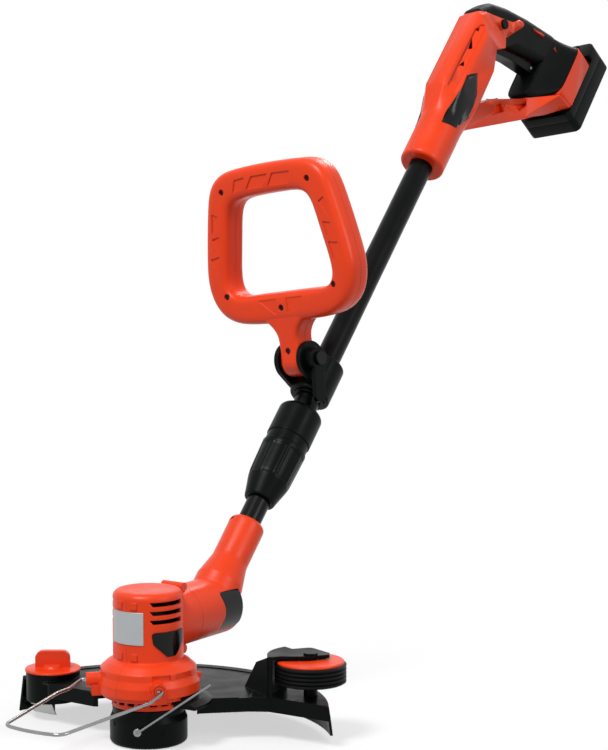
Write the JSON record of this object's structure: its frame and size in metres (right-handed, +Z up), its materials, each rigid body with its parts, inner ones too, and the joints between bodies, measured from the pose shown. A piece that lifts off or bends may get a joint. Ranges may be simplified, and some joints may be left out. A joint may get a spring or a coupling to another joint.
{
  "type": "string trimmer",
  "caption": "Cordless string trimmer with a telescopic shaft, front loop handle, orange shells, black guard, edging wheel and wire guard.",
  "frame": {"origin": "middle of the flat bottom of the spool cap, on the spool's axis", "axes": "+Z up along the spool's axis, +X forward away from the user, +Y to the user's left, where the edging wheel is"},
  "size_m": [1.0954, 0.3421, 0.7719],
  "materials": {
    "orange_shell": "satin orange moulded plastic",
    "black_shell": "fine-textured black moulded plastic",
    "soft_cover": "soft black overmould with a light texture",
    "tyre": "black rubber tyre",
    "tube_black": "black powder coat on aluminium tube",
    "tube_inner": "black coated steel tube",
    "bare_steel": "plain zinc-plated steel",
    "chrome_wire": "bright drawn wire",
    "plate_silver": "plain satin plate",
    "gloss_black": "glossy black plastic",
    "nylon": "nylon line",
    "brass": "plain bearing bronze"
  },
  "bodies": {
    "upper": {"outer_tube": "tube_black", "collar_sleeve": "black_shell", "handle_left": "orange_shell", "handle_right": "orange_shell", "handle_screws": "bare_steel", "grip_cover": "soft_cover", "foot_block": "black_shell", "side_badges": "gloss_black", "trigger_switch": "black_shell", "trigger_pin": "bare_steel", "terminal_block": "black_shell"},
    "trigger_lever": {"trigger": "black_shell"},
    "lock_bolt": {"lock_button": "black_shell"},
    "battery": {"battery_cup": "black_shell", "battery_lid": "black_shell", "battery_cells": "bare_steel"},
    "battery_button": {"battery_latch": "black_shell"},
    "clamp_bush": {"clamp_liner": "black_shell"},
    "clamp": {"clamp_body": "black_shell", "clamp_bolt": "bare_steel"},
    "loop": {"loop_handle_front": "orange_shell", "loop_handle_rear": "orange_shell", "loop_screws": "bare_steel"},
    "lever": {"clamp_lever": "black_shell"},
    "nut": {"collar_nut": "soft_cover"},
    "tube_guide": {"guide_bush": "black_shell"},
    "lower_shaft": {"inner_tube": "tube_inner", "elbow_left": "orange_shell", "elbow_right": "orange_shell", "elbow_screws": "bare_steel"},
    "release": {"release_button": "gloss_black"},
    "head": {"motor_housing_left": "orange_shell", "motor_housing_right": "orange_shell", "housing_screws": "bare_steel", "roll_spigot": "black_shell", "rating_plate": "plate_silver", "shield_badge": "gloss_black", "motor_can": "bare_steel", "motor_bearings": "brass", "outlet_ring": "orange_shell", "guard": "black_shell", "guard_screws": "bare_steel", "line_cutter": "bare_steel", "cutter_screws": "bare_steel", "spare_spool": "black_shell", "spare_line": "nylon", "wheel_pin": "black_shell"},
    "wire": {"wire_guard": "chrome_wire"},
    "spool_head": {"motor_rotor": "bare_steel", "cooling_fan": "black_shell", "spool_carrier": "black_shell", "spool_cap": "black_shell", "spool": "black_shell", "wound_line": "nylon", "eyelets": "chrome_wire", "cut_line": "nylon"},
    "wheel": {"wheel_hub": "orange_shell", "wheel_tyre": "tyre"},
    "knob": {"spare_knob": "orange_shell"}
  },
  "joints": [
    {"name": "trigger_pull", "type": "hinge", "parent": "upper", "child": "trigger_lever", "pos_m": [-0.77299, 0.01626, 0.69339], "axis": [-0.1363, -0.982, -0.1311], "range_deg": [0, 7], "stiffness_Nm_per_rad": 0.4, "springref_deg": -17.19},
    {"name": "lock_slide", "type": "slide", "parent": "upper", "child": "lock_bolt", "axis": [0.1363, 0.982, 0.1311], "range_m": [-0.003, 0.003]},
    {"name": "battery_slide", "type": "slide", "parent": "upper", "child": "battery", "axis": [-0.6934, 0, 0.7206], "range_m": [0, 0.09]},
    {"name": "battery_button_push", "type": "slide", "parent": "battery", "child": "battery_button", "axis": [-0.7076, 0.1891, -0.6809], "range_m": [0, 0.003], "stiffness_N_per_m": 800, "springref_m": -0.002},
    {"name": "clamp_slide", "type": "slide", "parent": "upper", "child": "clamp_bush", "axis": [-0.6934, 0, 0.7206], "range_m": [-0.015, 0.25]},
    {"name": "clamp_turn", "type": "hinge", "parent": "clamp_bush", "child": "clamp", "pos_m": [-0.30962, 0, 0.33366], "axis": [-0.6934, 0, 0.7206], "range_deg": [-90, 90]},
    {"name": "loop_tilt", "type": "hinge", "parent": "clamp", "child": "loop", "pos_m": [-0.28421, -0.0069, 0.35895], "axis": [0.1363, 0.982, 0.1311], "range_deg": [-40, 40]},
    {"name": "lever_turn", "type": "hinge", "parent": "clamp", "child": "lever", "pos_m": [-0.28421, -0.0069, 0.35895], "axis": [0.1363, 0.982, 0.1311], "range_deg": [-90, 0]},
    {"name": "nut_twist", "type": "hinge", "parent": "upper", "child": "nut", "pos_m": [-0.22641, 0, 0.2472], "axis": [-0.6934, 0, 0.7206], "range_deg": [0, 120]},
    {"name": "telescope", "type": "slide", "parent": "upper", "child": "tube_guide", "axis": [0.6934, 0, -0.7206], "range_m": [-0.02, 0.2]},
    {"name": "shaft_turn", "type": "hinge", "parent": "tube_guide", "child": "lower_shaft", "pos_m": [-0.37896, 0, 0.40572], "axis": [-0.6934, 0, 0.7206], "range_deg": [-90, 90]},
    {"name": "head_roll", "type": "hinge", "parent": "lower_shaft", "child": "head", "pos_m": [-0.0518, 0, 0.1175], "axis": [1, 0, 0], "range_deg": [-90, 0]},
    {"name": "release_push", "type": "slide", "parent": "lower_shaft", "child": "release", "axis": [0, -1, 0], "range_m": [0, 0.0035], "stiffness_N_per_m": 1200, "springref_m": -0.002},
    {"name": "wire_fold", "type": "hinge", "parent": "head", "child": "wire", "pos_m": [0.04228, 0, 0.064], "axis": [0, -1, 0], "range_deg": [0, 95]},
    {"name": "spool_spin", "type": "hinge", "parent": "head", "child": "spool_head", "pos_m": [0, 0, 0], "axis": [0, 0, 1], "continuous": true, "deforming": ["cut_line"]},
    {"name": "wheel_spin", "type": "hinge", "parent": "head", "child": "wheel", "pos_m": [-0.097, 0.1295, 0.0665], "axis": [0, 0, 1], "continuous": true},
    {"name": "knob_turn", "type": "hinge", "parent": "head", "child": "knob", "pos_m": [-0.02, -0.14, 0.05], "axis": [0, 0, 1], "range_deg": [0, 90]}
  ]
}
